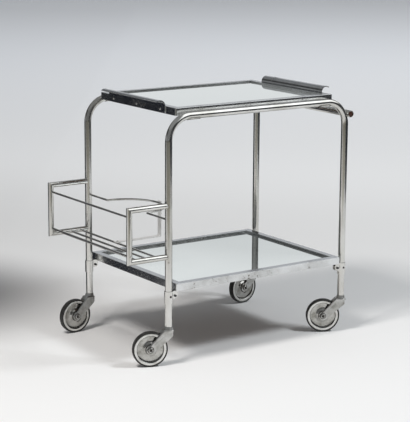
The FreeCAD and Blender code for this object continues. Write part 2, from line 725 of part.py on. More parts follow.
def build_trays():
    # Both trays, and the upper one's handles
    low_glass, low_board = tray_plates(low_half_x, low_half_y, low_tray_z, low_tray_recess)
    add("lower_tray_frame", tray_frame(low_half_x, low_half_y, low_tray_z, low_tray_recess))
    add("lower_tray_mirror", low_glass)
    add("lower_tray_board", low_board)
    screws, drills = zip(*left_handle_fasteners())
    both_drills = list(drills) + [mirrored(each, X_AXIS) for each in drills]
    top_glass, top_board = tray_plates(top_half_x, top_half_y, top_tray_z, top_tray_recess)
    handle = left_handle(drills)
    add("top_tray_frame", cut_all(tray_frame(top_half_x, top_half_y, top_tray_z, top_tray_recess),
                                  both_drills))
    add("top_tray_mirror", top_glass)
    add("top_tray_board", cut_all(top_board, both_drills))
    add("left_tray_handle", handle)
    add("right_tray_handle", mirrored(handle, X_AXIS))
    add("handle_screws", group(list(screws) + [mirrored(each, X_AXIS) for each in screws]))


def build_casters():
    # Four alike, each standing at its own swivel angle
    makers = {"ferrule": ferrule, "stem": stem, "fork": fork, "axle": axle, "wheel": wheel_disc,
              "tyre": tyre, "bush": bush}
    for kind, make in makers.items():
        shape = make()
        for corner in corners:
            add(f"{kind}_{corner}", placed(shape, corner))


build_rack(build_frame())
build_trays()
build_casters()
os.makedirs("parts", exist_ok=True)
for name, shape in nodes.items():
    shape.exportStep(f"parts/{name}.step")
print(len(nodes), "nodes written")
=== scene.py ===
from math import asin, atan2, cos, degrees, pi, radians, sin, sqrt

import bmesh
import bpy
from mathutils import Matrix, Vector


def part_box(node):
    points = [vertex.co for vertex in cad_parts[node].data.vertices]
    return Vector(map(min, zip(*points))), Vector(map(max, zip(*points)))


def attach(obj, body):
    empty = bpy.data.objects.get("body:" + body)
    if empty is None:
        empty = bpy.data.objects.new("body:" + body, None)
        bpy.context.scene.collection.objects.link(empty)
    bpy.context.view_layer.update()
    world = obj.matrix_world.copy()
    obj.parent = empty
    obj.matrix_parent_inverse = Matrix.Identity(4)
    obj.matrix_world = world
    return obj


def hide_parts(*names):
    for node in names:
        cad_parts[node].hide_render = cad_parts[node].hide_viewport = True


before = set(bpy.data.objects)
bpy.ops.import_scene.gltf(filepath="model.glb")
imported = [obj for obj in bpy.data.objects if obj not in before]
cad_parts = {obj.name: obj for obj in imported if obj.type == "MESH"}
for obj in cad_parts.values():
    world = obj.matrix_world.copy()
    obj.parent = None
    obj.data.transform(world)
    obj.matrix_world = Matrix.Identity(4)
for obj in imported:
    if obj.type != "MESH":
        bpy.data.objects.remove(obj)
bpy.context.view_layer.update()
scene = bpy.context.scene

# Camera
# A long lens 4.5 m from the trolley's middle, in front and to the left and a little above the
# upper tray, set so that the trolley falls where it does in the photo.
eye = Vector((-2.49223, -3.64181, 1.29766))
azimuth, pitch, roll = radians(-34.571), radians(11.93), radians(0.336)
back = Vector((sin(azimuth) * cos(pitch), -cos(azimuth) * cos(pitch), sin(pitch)))
right = Vector((cos(azimuth), sin(azimuth), 0.0))
up = back.cross(right)
tilted_right = right * cos(roll) + up * sin(roll)
tilted_up = up * cos(roll) - right * sin(roll)
camera_data = bpy.data.cameras.new("camera")
camera_data.sensor_width = 36.0
camera_data.lens = 133.13
camera_data.clip_end = 200.0
camera = bpy.data.objects.new("camera", camera_data)
camera_axes = Matrix((tilted_right, tilted_up, back)).transposed()
camera.matrix_world = Matrix.Translation(eye) @ camera_axes.to_4x4()
scene.collection.objects.link(camera)
scene.camera = camera
scene.view_settings.view_transform = "Standard"

# Studio
# Seamless pale paper under the trolley and far behind it, its colour painted lighter and bluer far away
# as painted light and darker in a patch at the left as a painted shadow, lit by two soft boxes and a
# lamp over the far part. The bright metal also shows a dull floor in front, black cloth at the sides,
# and the windows and walls of the room around.
toward_camera = Vector((back.x, back.y, 0.0)).normalized()
paper_reach, flag_reach, flag_lift = 60.0, 12.0, 0.002
painted_shadow_at = right * -0.95 - toward_camera * 0.42
floor_right_edge = 2.3
box_aim = Vector((0.0, 0.0, 0.3))
box_size = 0.7
backdrop_brightness, room_light = 0.60, 0.25


def placed(name, data):
    # A new object of the scene for a mesh or a lamp
    made = bpy.data.objects.new(name, data)
    scene.collection.objects.link(made)
    return made


def fill(tree, socket, value):
    # Gives a socket another node's output or a plain value
    if isinstance(value, bpy.types.NodeSocket):
        tree.links.new(value, socket)
    else:
        socket.default_value = value


def shader(name):
    # A material with makers of its nodes and of its surface, which both take sockets and values
    material = bpy.data.materials.new(name)
    material.use_nodes = True
    tree = material.node_tree

    def node(kind, **inputs):
        made = tree.nodes.new(kind)
        for key, value in inputs.items():
            fill(tree, made.inputs[key.replace("_", " ")], value)
        return made

    def surface(**inputs):
        for key, value in inputs.items():
            fill(tree, tree.nodes["Principled BSDF"].inputs[key.replace("_", " ")], value)
    return material, node, surface


def plain(name, colour, **settings):
    # A material of one even colour
    material, node, surface = shader(name)
    surface(Base_Color=(*colour, 1), **settings)
    return material


def two_tone(node, value, first, second, start, end, shape="LINEAR"):
    # A colour that goes from one to another as the value goes from start to end
    made = node("ShaderNodeValToRGB", Fac=value)
    made.color_ramp.interpolation = shape
    low, high = made.color_ramp.elements
    low.position, high.position = start, end
    low.color, high.color = (*first, 1), (*second, 1)
    return made.outputs["Color"]


def noise(node, place, **settings):
    # Cloudy noise, mostly between 0.3 and 0.7
    return node("ShaderNodeTexNoise", Vector=place, **settings).outputs["Fac"]


def mixed(tree, amount, first, second, kind="MIX"):
    # One colour laid over another by an amount
    made = tree.nodes.new("ShaderNodeMix")
    made.data_type, made.blend_type = "RGBA", kind
    fill(tree, made.inputs["Factor"], amount)
    fill(tree, made.inputs[6], first)
    fill(tree, made.inputs[7], second)
    return made.outputs[2]


def maths(tree, kind, *inputs):
    # The result of a sum on sockets and plain numbers
    made = tree.nodes.new("ShaderNodeMath")
    made.operation = kind
    for socket, value in zip(made.inputs, inputs):
        fill(tree, socket, value)
    return made.outputs["Value"]


def remap(tree, value, low, high, to_low, to_high, shape="LINEAR"):
    # A value carried from one range to another, and held at the ends
    made = tree.nodes.new("ShaderNodeMapRange")
    made.interpolation_type = shape
    fill(tree, made.inputs["Value"], value)
    for key, number in (("From Min", low), ("From Max", high), ("To Min", to_low), ("To Max", to_high)):
        made.inputs[key].default_value = number
    return made.outputs["Result"]


def panel(name, material, left, right_edge, near, far, lift=0.0):
    # A flat piece of the studio, measured across the picture and towards the camera
    corners = [right * across + toward_camera * along + Vector((0, 0, lift))
               for across, along in ((left, near), (right_edge, near), (right_edge, far), (left, far))]
    mesh = bpy.data.meshes.new(name)
    mesh.from_pydata(corners, [], [(3, 2, 1, 0)])
    mesh.materials.append(material)
    made = placed(name, mesh)
    return made


def soft_box(name, spot, power, tint):
    # A square lamp that points at the trolley and is not seen itself
    data = bpy.data.lights.new(name, "AREA")
    data.shape = "RECTANGLE"
    data.size, data.size_y, data.energy, data.color = box_size, box_size, power, tint
    made = placed(name, data)
    made.location = spot
    made.rotation_mode = "QUATERNION"
    made.rotation_quaternion = (Vector(spot) - box_aim).to_track_quat("Z", "Y")
    made.visible_camera = made.visible_glossy = False


paper, node, surface = shader("paper")
place = node("ShaderNodeTexCoord").outputs["Object"]
painted_tones = []
for reach, spot, outer, inner, full_at in (
        # Painted light: the paper is lighter and bluer away from the trolley, out to 9 m, in place of
        # light on the far backdrop
        (9.0, (0, 0, 0), (0.93, 0.945, 0.98), (0.85, 0.845, 0.84), 0.9),
        # Painted shadow: a dark grey patch at the left, multiplied into the paper's colour
        (0.68, painted_shadow_at, (1, 1, 1), (0.20, 0.20, 0.21), 0.8)):
    shrink = node("ShaderNodeMapping", Vector=place, Scale=(1 / reach,) * 3,
                  Location=[-v / reach for v in spot])
    spread = node("ShaderNodeTexGradient", Vector=shrink.outputs["Vector"])
    spread.gradient_type = "SPHERICAL"
    painted_tones.append(two_tone(node, spread.outputs["Fac"], outer, inner, 0.0, full_at, "EASE"))
both = mixed(paper.node_tree, 1.0, *painted_tones, "MULTIPLY")
surface(Base_Color=both, Roughness=0.9, Specular_IOR_Level=0.1)
panel("floor", paper, -paper_reach, paper_reach, paper_reach, -paper_reach)

black_cloth = plain("black_cloth", (0.030, 0.033, 0.042), Roughness=1.0, Specular_IOR_Level=0.0)
dull_floor = plain("dull_floor", (0.46, 0.44, 0.38), Roughness=1.0, Specular_IOR_Level=0.0)
for flag in (
        panel("cloth_behind_left", black_cloth, -flag_reach, -0.72, 0.1, -flag_reach, flag_lift),
        panel("cloth_right", black_cloth, floor_right_edge, flag_reach, flag_reach, -flag_reach,
              flag_lift),
        panel("floor_in_front", dull_floor, -flag_reach, floor_right_edge, flag_reach, 1.7,
              flag_lift)):
    flag.visible_camera = flag.visible_diffuse = False
    flag.visible_shadow = flag.visible_transmission = False

soft_box("right_soft_box", (1.6, -1.9, 3.0), 65, (0.93, 0.97, 1.0))
soft_box("left_soft_box", (-1.75, -0.55, 3.0), 66, (1.0, 0.975, 0.95))
far_light = bpy.data.lights.new("backdrop_light", "SPOT")
far_light.energy, far_light.color = 1240, (0.965, 0.985, 1.0)
far_light.spot_size, far_light.spot_blend, far_light.shadow_soft_size = radians(110), 0.35, 0.4
far_lamp = placed("backdrop_light", far_light)
far_lamp.location = right * 1.4 - toward_camera * 6.0 + Vector((0, 0, 8.0))
far_tilt = toward_camera * 0.38 + Vector((0, 0, 1))
far_lamp.rotation_euler = far_tilt.to_track_quat("Z", "Y").to_euler()
far_lamp.visible_glossy = False

world = bpy.data.worlds.new("studio_air")
scene.world = world
world.use_nodes = True
air = world.node_tree
direction = air.nodes.new("ShaderNodeTexCoord")
split = air.nodes.new("ShaderNodeSeparateXYZ")
air.links.new(direction.outputs["Generated"], split.inputs["Vector"])
x_way, y_way, z_way = (split.outputs[key] for key in "XYZ")
slant = maths(air, "MULTIPLY_ADD", x_way, 0.75, z_way)


def part_of_room(*edges):
    # A bright part of the room: soft edges (direction, low, high, value at low, value at high)
    total = None
    for edge in edges:
        factor = remap(air, *edge, "SMOOTHSTEP")
        total = factor if total is None else maths(air, "MULTIPLY", total, factor)
    return total


windows = part_of_room((y_way, -0.08, 0.20, 1.85, 0.0), (z_way, 0.30, 0.42, 0.0, 1.0),
                       (x_way, 0.0, 0.25, 0.0, 1.0))
backdrop = part_of_room((y_way, 0.0, 0.25, 0.0, 0.55), (x_way, 0.20, 0.50, 0.22, 1.0),
                        (x_way, -0.15, 0.05, 0.0, 1.0), (slant, 0.78, 0.92, 1.0, 0.06),
                        (z_way, 0.17, 0.29, 1.00, 1.64))
dim_wall = part_of_room((z_way, 0.12, 0.20, 0.22, 0.0), (y_way, 0.0, 0.3, 0.0, 1.0))
side_wall = part_of_room((y_way, 0.15, 0.55, 0.20, 0.0), (x_way, -0.35, -0.05, 1.0, 0.0))
ceiling = part_of_room((z_way, 0.44, 0.56, 0.045, 0.30))
seen_by_metal = windows
for bright in (backdrop, side_wall, ceiling):
    seen_by_metal = maths(air, "MAXIMUM", seen_by_metal, bright)
seen_by_metal = maths(air, "ADD", seen_by_metal, dim_wall)
path = air.nodes.new("ShaderNodeLightPath").outputs
shown = maths(air, "ADD", path["Is Camera Ray"], path["Is Glossy Ray"])
shown = maths(air, "MINIMUM", maths(air, "ADD", shown, path["Is Transmission Ray"]), 1.0)
seen, strength = air.nodes.new("ShaderNodeMix"), air.nodes.new("ShaderNodeMix")
for mix, amount, first, second in (
        (seen, path["Is Camera Ray"], seen_by_metal, backdrop_brightness),
        (strength, shown, room_light, seen.outputs["Result"])):
    fill(air, mix.inputs["Factor"], amount)
    fill(air, mix.inputs["A"], first)
    fill(air, mix.inputs["B"], second)
air.links.new(strength.outputs["Result"], air.nodes["Background"].inputs["Strength"])
air.nodes["Background"].inputs["Color"].default_value = (0.955, 0.98, 1.0, 1)

# Side frames
# Two upside-down U frames of drawn steel tube, bent cold, polished and nickel plated. The plating
# has gone slightly yellow and has fine dull patches from decades of wiping.
tube_radius = 0.010
bend_radius = 0.068
crease_deg = 35.0
x_axis, y_axis, z_axis = Vector((1, 0, 0)), Vector((0, 1, 0)), Vector((0, 0, 1))


def metal(name, bright, dull, roughness, uneven, patch=9.0, stretch=(1, 1, 1), dent=0.04,
          pits=0.70, upward=None):
    # Plated or bare metal with worn patches, brown pits that gather in them, and a fine uneven
    # polish. Faces that look up can be given a darker colour, a painted shade that dims what they
    # reflect
    material, node, surface = shader(name)
    tree = material.node_tree
    grain, gathering, pit_brown = 260.0, 0.45, (0.17, 0.135, 0.10, 1)
    place = node("ShaderNodeTexCoord")
    way = node("ShaderNodeMapping", Vector=place.outputs["Object"], Scale=stretch).outputs["Vector"]
    patches = noise(node, way, Scale=patch, Detail=7.0, Roughness=0.62)
    spots = noise(node, way, Scale=grain, Detail=4.0)
    pitting = noise(node, way, Scale=grain * 0.45, Detail=6.0, Roughness=0.7)
    pitting = maths(tree, "SUBTRACT", pitting, gathering / 2)
    pitting = maths(tree, "MULTIPLY_ADD", patches, gathering, pitting)
    pitted = remap(tree, pitting, pits, pits + 0.05, 0.0, 0.8)
    colour = mixed(tree, pitted, two_tone(node, patches, bright, dull, 0.40, 0.64), pit_brown)
    if upward:
        facing = node("ShaderNodeSeparateXYZ", Vector=place.outputs["Normal"]).outputs["Z"]
        # Painted shade: faces that look up take the given darker colour
        colour = mixed(tree, remap(tree, facing, 0.45, 0.95, 0.0, 0.9), colour, (*upward, 1))
    polish = remap(tree, patches, 0.3, 0.7, roughness, roughness + uneven)
    relief = node("ShaderNodeBump", Height=spots, Strength=dent, Distance=0.0002)
    rough = maths(tree, "MULTIPLY_ADD", pitted, 0.35, polish)
    surface(Metallic=1.0, Base_Color=colour, Roughness=rough, Normal=relief.outputs["Normal"])
    return material


def dress(material, *names):
    # Gives CAD pieces that keep their shape their material
    for name in names:
        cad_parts[name].data.materials[0] = material


def grown(name, guide, tree, values, material):
    # The plain mesh that a Geometry Nodes tree makes from a guide mesh and its named values
    start = placed(name + "_guide", guide)
    modifier = start.modifiers.new("grow", "NODES")
    modifier.node_group = tree
    values = {**values, "Material": material}
    for item in tree.interface.items_tree:
        if item.item_type == "SOCKET" and item.in_out == "INPUT" and item.name in values:
            modifier[item.identifier] = values[item.name]
    graph = bpy.context.evaluated_depsgraph_get()
    mesh = bpy.data.meshes.new_from_object(start.evaluated_get(graph))
    mesh.name = name
    start.modifiers.clear()
    bpy.data.objects.remove(start)
    mesh.set_sharp_from_angle(angle=radians(crease_deg))
    return placed(name, mesh)


def settle(piece, body, slot, *nodes):
    # Fixes a finished piece to its body in place of the CAD nodes
    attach(piece, body)
    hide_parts(*nodes)


def new_tree(name, *inputs):
    # An empty Geometry Nodes tree with named inputs, and its first and last node
    tree = bpy.data.node_groups.new(name, "GeometryNodeTree")
    tree.interface.new_socket("Geometry", in_out="INPUT", socket_type="NodeSocketGeometry")
    for label, kind in inputs + (("Material", "NodeSocketMaterial"),):
        tree.interface.new_socket(label, in_out="INPUT", socket_type=kind)
    tree.interface.new_socket("Geometry", in_out="OUTPUT", socket_type="NodeSocketGeometry")
    return tree, tree.nodes.new("NodeGroupInput"), tree.nodes.new("NodeGroupOutput")


def close_tree(tree, source, sink, last):
    # Every tree ends in Realize Instances and Set Material
    realize = tree.nodes.new("GeometryNodeRealizeInstances")
    paint = tree.nodes.new("GeometryNodeSetMaterial")
    tree.links.new(last, realize.inputs["Geometry"])
    tree.links.new(realize.outputs["Geometry"], paint.inputs["Geometry"])
    tree.links.new(source.outputs["Material"], paint.inputs["Material"])
    tree.links.new(paint.outputs["Geometry"], sink.inputs["Geometry"])


def swept_bar_tree():
    # Turns a chain of edges into a round bar with flat ends
    tree, source, sink = new_tree("swept_bar", ("Radius", "NodeSocketFloat"),
                                  ("Sides", "NodeSocketInt"))
    path = tree.nodes.new("GeometryNodeMeshToCurve")
    ring = tree.nodes.new("GeometryNodeCurvePrimitiveCircle")
    skin = tree.nodes.new("GeometryNodeCurveToMesh")
    skin.inputs["Fill Caps"].default_value = True
    tree.links.new(source.outputs["Geometry"], path.inputs["Mesh"])
    tree.links.new(source.outputs["Radius"], ring.inputs["Radius"])
    tree.links.new(source.outputs["Sides"], ring.inputs["Resolution"])
    tree.links.new(path.outputs["Curve"], skin.inputs["Curve"])
    tree.links.new(ring.outputs["Curve"], skin.inputs["Profile Curve"])
    close_tree(tree, source, sink, skin.outputs["Mesh"])
    return tree


def chain(points, closed=False):
    # A guide mesh of edges from point to point
    edges = [(k, k + 1) for k in range(len(points) - 1)]
    if closed:
        edges.append((len(points) - 1, 0))
    mesh = bpy.data.meshes.new("guide")
    mesh.from_pydata(points, edges, [])
    return mesh


def turn(centre, radius, first_deg, last_deg, across, upward, step_deg=3.0):
    # Points along an arc
    count = max(2, round(abs(last_deg - first_deg) / step_deg))
    angles = [radians(first_deg + (last_deg - first_deg) * k / count) for k in range(count + 1)]
    return [centre + across * (radius * cos(angle)) + upward * (radius * sin(angle))
            for angle in angles]


swept_bar = swept_bar_tree()
nickel = metal("nickel", (0.71, 0.705, 0.685), (0.52, 0.51, 0.475), 0.10, 0.10,
               stretch=(1, 1, 0.45), dent=0.012)
legs = {}
for corner in ("front_left", "front_right", "back_left", "back_right"):
    low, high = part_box("ferrule_" + corner)
    legs[corner] = (low + high) / 2
foot_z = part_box("front_frame_tube")[0].z
top_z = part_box("front_frame_tube")[1].z - tube_radius
bend_z = top_z - bend_radius
half_way_z = (foot_z + bend_z) / 2
for side in ("front", "back"):
    y, left_x, right_x = legs[side + "_left"].y, legs[side + "_left"].x, legs[side + "_right"].x
    points = [Vector((left_x, y, foot_z)), Vector((left_x, y, half_way_z))]
    points += turn(Vector((left_x + bend_radius, y, bend_z)), bend_radius, 180, 90, x_axis, z_axis)
    points += turn(Vector((right_x - bend_radius, y, bend_z)), bend_radius, 90, 0, x_axis, z_axis)
    points += [Vector((right_x, y, half_way_z)), Vector((right_x, y, foot_z))]
    sizes = {"Radius": tube_radius, "Sides": 56}
    tube = grown(side + "_side_frame", chain(points), swept_bar, sizes, nickel)
    settle(tube, "frame", "nickel", side + "_frame_tube")

# Push bar
# A straight tube notched over the two right-hand bends and brazed on. Each open end has a rolled
# lip, and a pressed-in plug of reddish-brown plastic sits just inside it.
bead_radius = 0.0009
bar_bead_spread, bar_bead_steps = 0.0062, 32
bar_wall = 0.0015
lip_radius = 0.0006
plug_dome, plug_length = 0.0012, 0.012


def finished(name, work, material, sharp_deg):
    # The object of a worked mesh, smooth but for its creases
    bmesh.ops.recalc_face_normals(work, faces=work.faces)
    mesh = bpy.data.meshes.new(name)
    work.to_mesh(mesh)
    work.free()
    mesh.shade_smooth()
    mesh.set_sharp_from_angle(angle=radians(sharp_deg))
    mesh.materials.append(material)
    return placed(name, mesh)


def lathed(name, outline, origin, axis, material, segments=64):
    # A solid turned about an axis from (radius, distance along the axis) points
    axis = Vector(axis).normalized()
    across = axis.orthogonal().normalized()
    other = axis.cross(across)
    angles = [2 * pi * k / segments for k in range(segments)]
    spokes = [across * cos(angle) + other * sin(angle) for angle in angles]
    work = bmesh.new()
    rings = []
    for radius, along in outline:
        middle = Vector(origin) + axis * along
        on_axis = radius < 1e-7
        rings.append([work.verts.new(middle)] if on_axis
                     else [work.verts.new(middle + spoke * radius) for spoke in spokes])
    open_ended = len(rings[0]) == 1 and len(rings[-1]) == 1
    for ring, following in zip(rings, rings[1:] if open_ended else rings[1:] + rings[:1]):
        for near in range(segments):
            far = (near + 1) % segments
            corners = [ring[near % len(ring)], ring[far % len(ring)],
                       following[far % len(following)], following[near % len(following)]]
            corners = list(dict.fromkeys(corners))
            if len(corners) > 2:
                work.faces.new(corners)
    return finished(name, work, material, crease_deg)


def joined(name, pieces):
    # Several loose pieces kept in one object
    work = bmesh.new()
    for piece in pieces:
        work.from_mesh(piece.data)
    mesh = bpy.data.meshes.new(name)
    work.to_mesh(mesh)
    work.free()
    for material in pieces[0].data.materials:
        mesh.materials.append(material)
    for piece in pieces:
        bpy.data.objects.remove(piece)
    return placed(name, mesh)


def bead(name, meeting):
    # A thin line of brazing metal along the seam where two tubes meet, plated with them
    sizes = {"Radius": bead_radius, "Sides": 8}
    return grown(name, chain(meeting, closed=True), swept_bar, sizes, nickel)


def seam_on_leg(leg, level, branch_radius, side, count=48):
    # Where a level tube along X or Y meets an upright leg, on the given side of the leg
    points = []
    for k in range(count):
        angle = 2 * pi * k / count
        off = branch_radius * cos(angle)
        out = sqrt(tube_radius ** 2 - off ** 2)
        flat = Vector((side[0] * out - side[1] * off, side[1] * out + side[0] * off, 0))
        points.append(Vector((leg.x, leg.y, level + branch_radius * sin(angle))) + flat)
    return points


low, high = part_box("push_handle_bar")
bar_radius, bar_half = (high.x - low.x) / 2, (high.y - low.y) / 2
bar_middle = Vector(((low.x + high.x) / 2, 0, (low.z + high.z) / 2))
bore = bar_radius - bar_wall
lip_slope = lip_radius * 0.3
lip = [(bar_radius, -lip_radius), (bar_radius - lip_slope, -lip_slope), (bar_radius - lip_radius, 0),
       (bore + lip_radius, 0), (bore + lip_slope, -lip_slope), (bore, -lip_radius)]
outline = [(r, bar_half + a) for r, a in lip] + [(r, -bar_half - a) for r, a in reversed(lip)]
pieces = [lathed("push_bar", outline, bar_middle, y_axis, nickel)]
for side in ("front", "back"):
    leg = legs[side + "_right"]
    bend_middle = Vector((leg.x - bend_radius, leg.y, bend_z))
    outward = (Vector((bar_middle.x, leg.y, bar_middle.z)) - bend_middle).normalized()
    touch_at = bend_middle + outward * (bend_radius + tube_radius)
    along = outward.cross(y_axis)
    angles = [2 * pi * k / bar_bead_steps for k in range(bar_bead_steps)]
    pieces.append(bead(side + "_bar_bead", [
        touch_at + y_axis * (bar_bead_spread * cos(angle)) + along * (bar_bead_spread * sin(angle))
        for angle in angles]))
settle(joined("push_bar_brazed", pieces), "frame", "nickel", "push_handle_bar")

plug_brown, node, surface = shader("plug_brown")
place = node("ShaderNodeTexCoord").outputs["Object"]
dust = noise(node, place, Scale=420.0, Detail=5.0)
relief = node("ShaderNodeBump", Height=dust, Strength=0.25, Distance=0.0003).outputs["Normal"]
surface(Base_Color=(0.055, 0.022, 0.014, 1), Roughness=0.38, Normal=relief)
plug_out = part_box("bar_end_plugs")[1].y
plug_in = plug_out - plug_length
outline = [(0, plug_out), (bore * 0.45, plug_out - plug_dome * 0.2),
           (bore * 0.8, plug_out - plug_dome * 0.62), (bore, plug_out - plug_dome),
           (bore, plug_in), (0, plug_in)]
plugs = [lathed("plug", outline, (bar_middle.x, 0, bar_middle.z), way, plug_brown)
         for way in (y_axis, -y_axis)]
settle(joined("push_bar_plugs", plugs), "frame", "plug", "bar_end_plugs")

# Bottle rack
# Two brackets of thinner tube, each mitred at two corners and brazed to a left leg, joined by rods
# for the bottles to lie against and stand on. The mitres were filed flush and plated over.
rack_radius = 0.008
rod_radius = 0.003
rod_edge = 0.0005
rod_sides = 28


def mitred_tube(name, points, radius, material, sides=40, sharp_deg=30.0):
    # A tube whose straight lengths meet in mitres, with flat closed ends
    work = bmesh.new()
    ways = [(b - a).normalized() for a, b in zip(points, points[1:])]
    flat = ways[0].cross(ways[1]).normalized()
    rings = []
    for k, point in enumerate(points):
        before, after = ways[max(0, k - 1)], ways[min(k, len(ways) - 1)]
        across = flat.cross(before)
        cut = (before + after).normalized()
        ring = []
        for s in range(sides):
            angle = 2 * pi * s / sides
            offset = across * (radius * cos(angle)) + flat * (radius * sin(angle))
            slide = -offset.dot(cut) / before.dot(cut)
            ring.append(work.verts.new(point + offset + before * slide))
        rings.append(ring)
    for ring, following in zip(rings, rings[1:]):
        for s in range(sides):
            t = (s + 1) % sides
            work.faces.new((ring[s], ring[t], following[t], following[s]))
    work.faces.new(rings[0])
    work.faces.new(rings[-1])
    return finished(name, work, material, sharp_deg)


def repeated_tree():
    # Places the same object at every point of the guide, turned by the point's own angles
    tree, source, sink = new_tree("repeated", ("Item", "NodeSocketObject"))
    item = tree.nodes.new("GeometryNodeObjectInfo")
    item.inputs["As Instance"].default_value = True
    angles = tree.nodes.new("GeometryNodeInputNamedAttribute")
    angles.data_type = "FLOAT_VECTOR"
    angles.inputs["Name"].default_value = "turn"
    spread = tree.nodes.new("GeometryNodeInstanceOnPoints")
    tree.links.new(source.outputs["Item"], item.inputs["Object"])
    tree.links.new(source.outputs["Geometry"], spread.inputs["Points"])
    tree.links.new(item.outputs["Geometry"], spread.inputs["Instance"])
    tree.links.new(angles.outputs["Attribute"], spread.inputs["Rotation"])
    close_tree(tree, source, sink, spread.outputs["Instances"])
    return tree


def row_of(name, item, places, material):
    # Copies of an item that was made along Z, each at a place and pointing its own way
    guide = bpy.data.meshes.new("guide")
    guide.from_pydata([place for place, way in places], [], [])
    turns = guide.attributes.new("turn", "FLOAT_VECTOR", "POINT")
    for k, (place, way) in enumerate(places):
        turns.data[k].vector = Vector(way).to_track_quat("Z", "Y").to_euler()
    made = grown(name, guide, repeated, {"Item": item}, material)
    bpy.data.objects.remove(item)
    return made


for side in ("front", "back"):
    low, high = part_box(f"rack_{side}_bracket")
    y, leg = (low.y + high.y) / 2, legs[side + "_left"]
    x, top, bottom = low.x + rack_radius, high.z - rack_radius, low.z + rack_radius
    points = [Vector((leg.x, y, top)), Vector((x, y, top)), Vector((x, y, bottom)),
              Vector((leg.x, y, bottom))]
    seams = [seam_on_leg(leg, level, rack_radius, (-1, 0)) for level in (top, bottom)]
    tube = mitred_tube(f"rack_tube_{side}", points, rack_radius, nickel)
    beads = [bead(f"rack_bead_{side}_{k}", seam) for k, seam in enumerate(seams)]
    settle(joined(f"rack_bracket_{side}", [tube] + beads), "frame", "nickel", f"rack_{side}_bracket")

for name in ("rack_upper_rail", "rack_lower_rail"):
    low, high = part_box(name)
    middle, half = (low + high) / 2, (high.y - low.y) / 2
    outline = [(0, half), (rod_radius - rod_edge, half), (rod_radius, half - rod_edge),
               (rod_radius, rod_edge - half), (rod_radius - rod_edge, -half), (0, -half)]
    rail = lathed(name + "_rod", outline, middle, y_axis, nickel, rod_sides)
    settle(rail, "frame", "nickel", name)

repeated = repeated_tree()
low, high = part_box("rack_floor_rods")
half, rod_z = (high.y - low.y) / 2, (low.z + high.z) / 2
outline = [(0, half), (rod_radius, half), (rod_radius, -half), (0, -half)]
rod = lathed("rod_item", outline, (0, 0, 0), z_axis, nickel, rod_sides)
places = [((x, 0, rod_z), y_axis)
          for x in (low.x + rod_radius, (low.x + high.x) / 2, high.x - rod_radius)]
settle(row_of("rack_rods", rod, places, nickel), "frame", "nickel", "rack_floor_rods")

# Ice bucket rail and strap
# One thin rod from leg to leg that bends out to a half ring, held up by a flat strap that is
# riveted to the ring and to the innermost rod of the rack's floor. The strap is duller, a satin
# plating.
ring_radius = 0.104
ring_corner = 0.004
corner_step_deg = 12
low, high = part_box("bucket_rail")
ring_z = (low.z + high.z) / 2
leg_x, leg_y = legs["back_left"].x, legs["back_left"].y
turn_x = leg_x + ring_corner
turn_y = sqrt((ring_radius + ring_corner) ** 2 - ring_corner ** 2)
touch = degrees(atan2(turn_y, ring_corner))
points = [Vector((leg_x, leg_y - tube_radius, ring_z))]
points += turn(Vector((turn_x, turn_y, ring_z)), ring_corner, 180, 180 + touch,
               x_axis, y_axis, corner_step_deg)
points += turn(Vector((leg_x, 0, ring_z)), ring_radius, touch, -touch, x_axis, y_axis)[1:-1]
points += turn(Vector((turn_x, -turn_y, ring_z)), ring_corner, 180 - touch, 180,
               x_axis, y_axis, corner_step_deg)
points += [Vector((leg_x, tube_radius - leg_y, ring_z))]
sizes = {"Radius": rod_radius, "Sides": rod_sides}
rod = grown("bucket_rod", chain(points), swept_bar, sizes, nickel)
beads = [bead(f"bucket_bead_{end}", seam_on_leg(legs[end + "_left"], ring_z, rod_radius, (0, inward)))
         for end, inward in (("front", 1), ("back", -1))]
settle(joined("bucket_hoop", [rod] + beads), "frame", "nickel", "bucket_rail")
satin = metal("satin_nickel", (0.86, 0.855, 0.84), (0.72, 0.71, 0.69), 0.55, 0.12, patch=30.0)
satin.node_tree.nodes["Principled BSDF"].inputs["Metallic"].default_value = 0.5
dress(satin, "bucket_strap")

# Trays
# Folded sheet rails with mitred corners round a silvered mirror, and curled handles. The mirrors
# are old: the silver has small dark spots near the edges. Dark stained plywood shows underneath.
# The rails' upward faces get a painted shade, a darker colour that dims their top flanges
rail_metal = metal("rail_nickel", (0.725, 0.735, 0.74), (0.57, 0.575, 0.57), 0.15, 0.14,
                   patch=14.0, dent=0.01, pits=0.62, upward=(0.36, 0.37, 0.39))
dress(rail_metal, "lower_tray_frame", "top_tray_frame", "left_tray_handle", "right_tray_handle")
spotted_edge = 0.035


def silvered(name, low, high):
    # Old mirror: greenish, very smooth, with spots where the silver has gone near the edges and a
    # faint haze of wear over all of it
    material, node, surface = shader(name)
    tree = material.node_tree
    place = node("ShaderNodeTexCoord").outputs["Object"]
    split = node("ShaderNodeSeparateXYZ", Vector=place)
    edges = []
    for axis, middle, half in (("X", (high.x + low.x) / 2, (high.x - low.x) / 2),
                               ("Y", 0.0, (high.y - low.y) / 2)):
        off_middle = maths(tree, "ABSOLUTE", maths(tree, "SUBTRACT", split.outputs[axis], middle))
        edges.append(remap(tree, off_middle, half - spotted_edge, half, 0.0, 1.0))
    specks = noise(node, place, Scale=85.0, Detail=8.0, Roughness=0.75)
    decay = maths(tree, "MULTIPLY_ADD", maths(tree, "MAXIMUM", *edges), 0.16, specks)
    colour = two_tone(node, decay, (0.84, 0.875, 0.86), (0.24, 0.235, 0.21), 0.68, 0.78)
    surface(Metallic=0.86, Roughness=0.025, Base_Color=colour)
    return material


for name in ("lower_tray_mirror", "top_tray_mirror"):
    low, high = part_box(name)
    dress(silvered(name + "_silver", low, high), name)

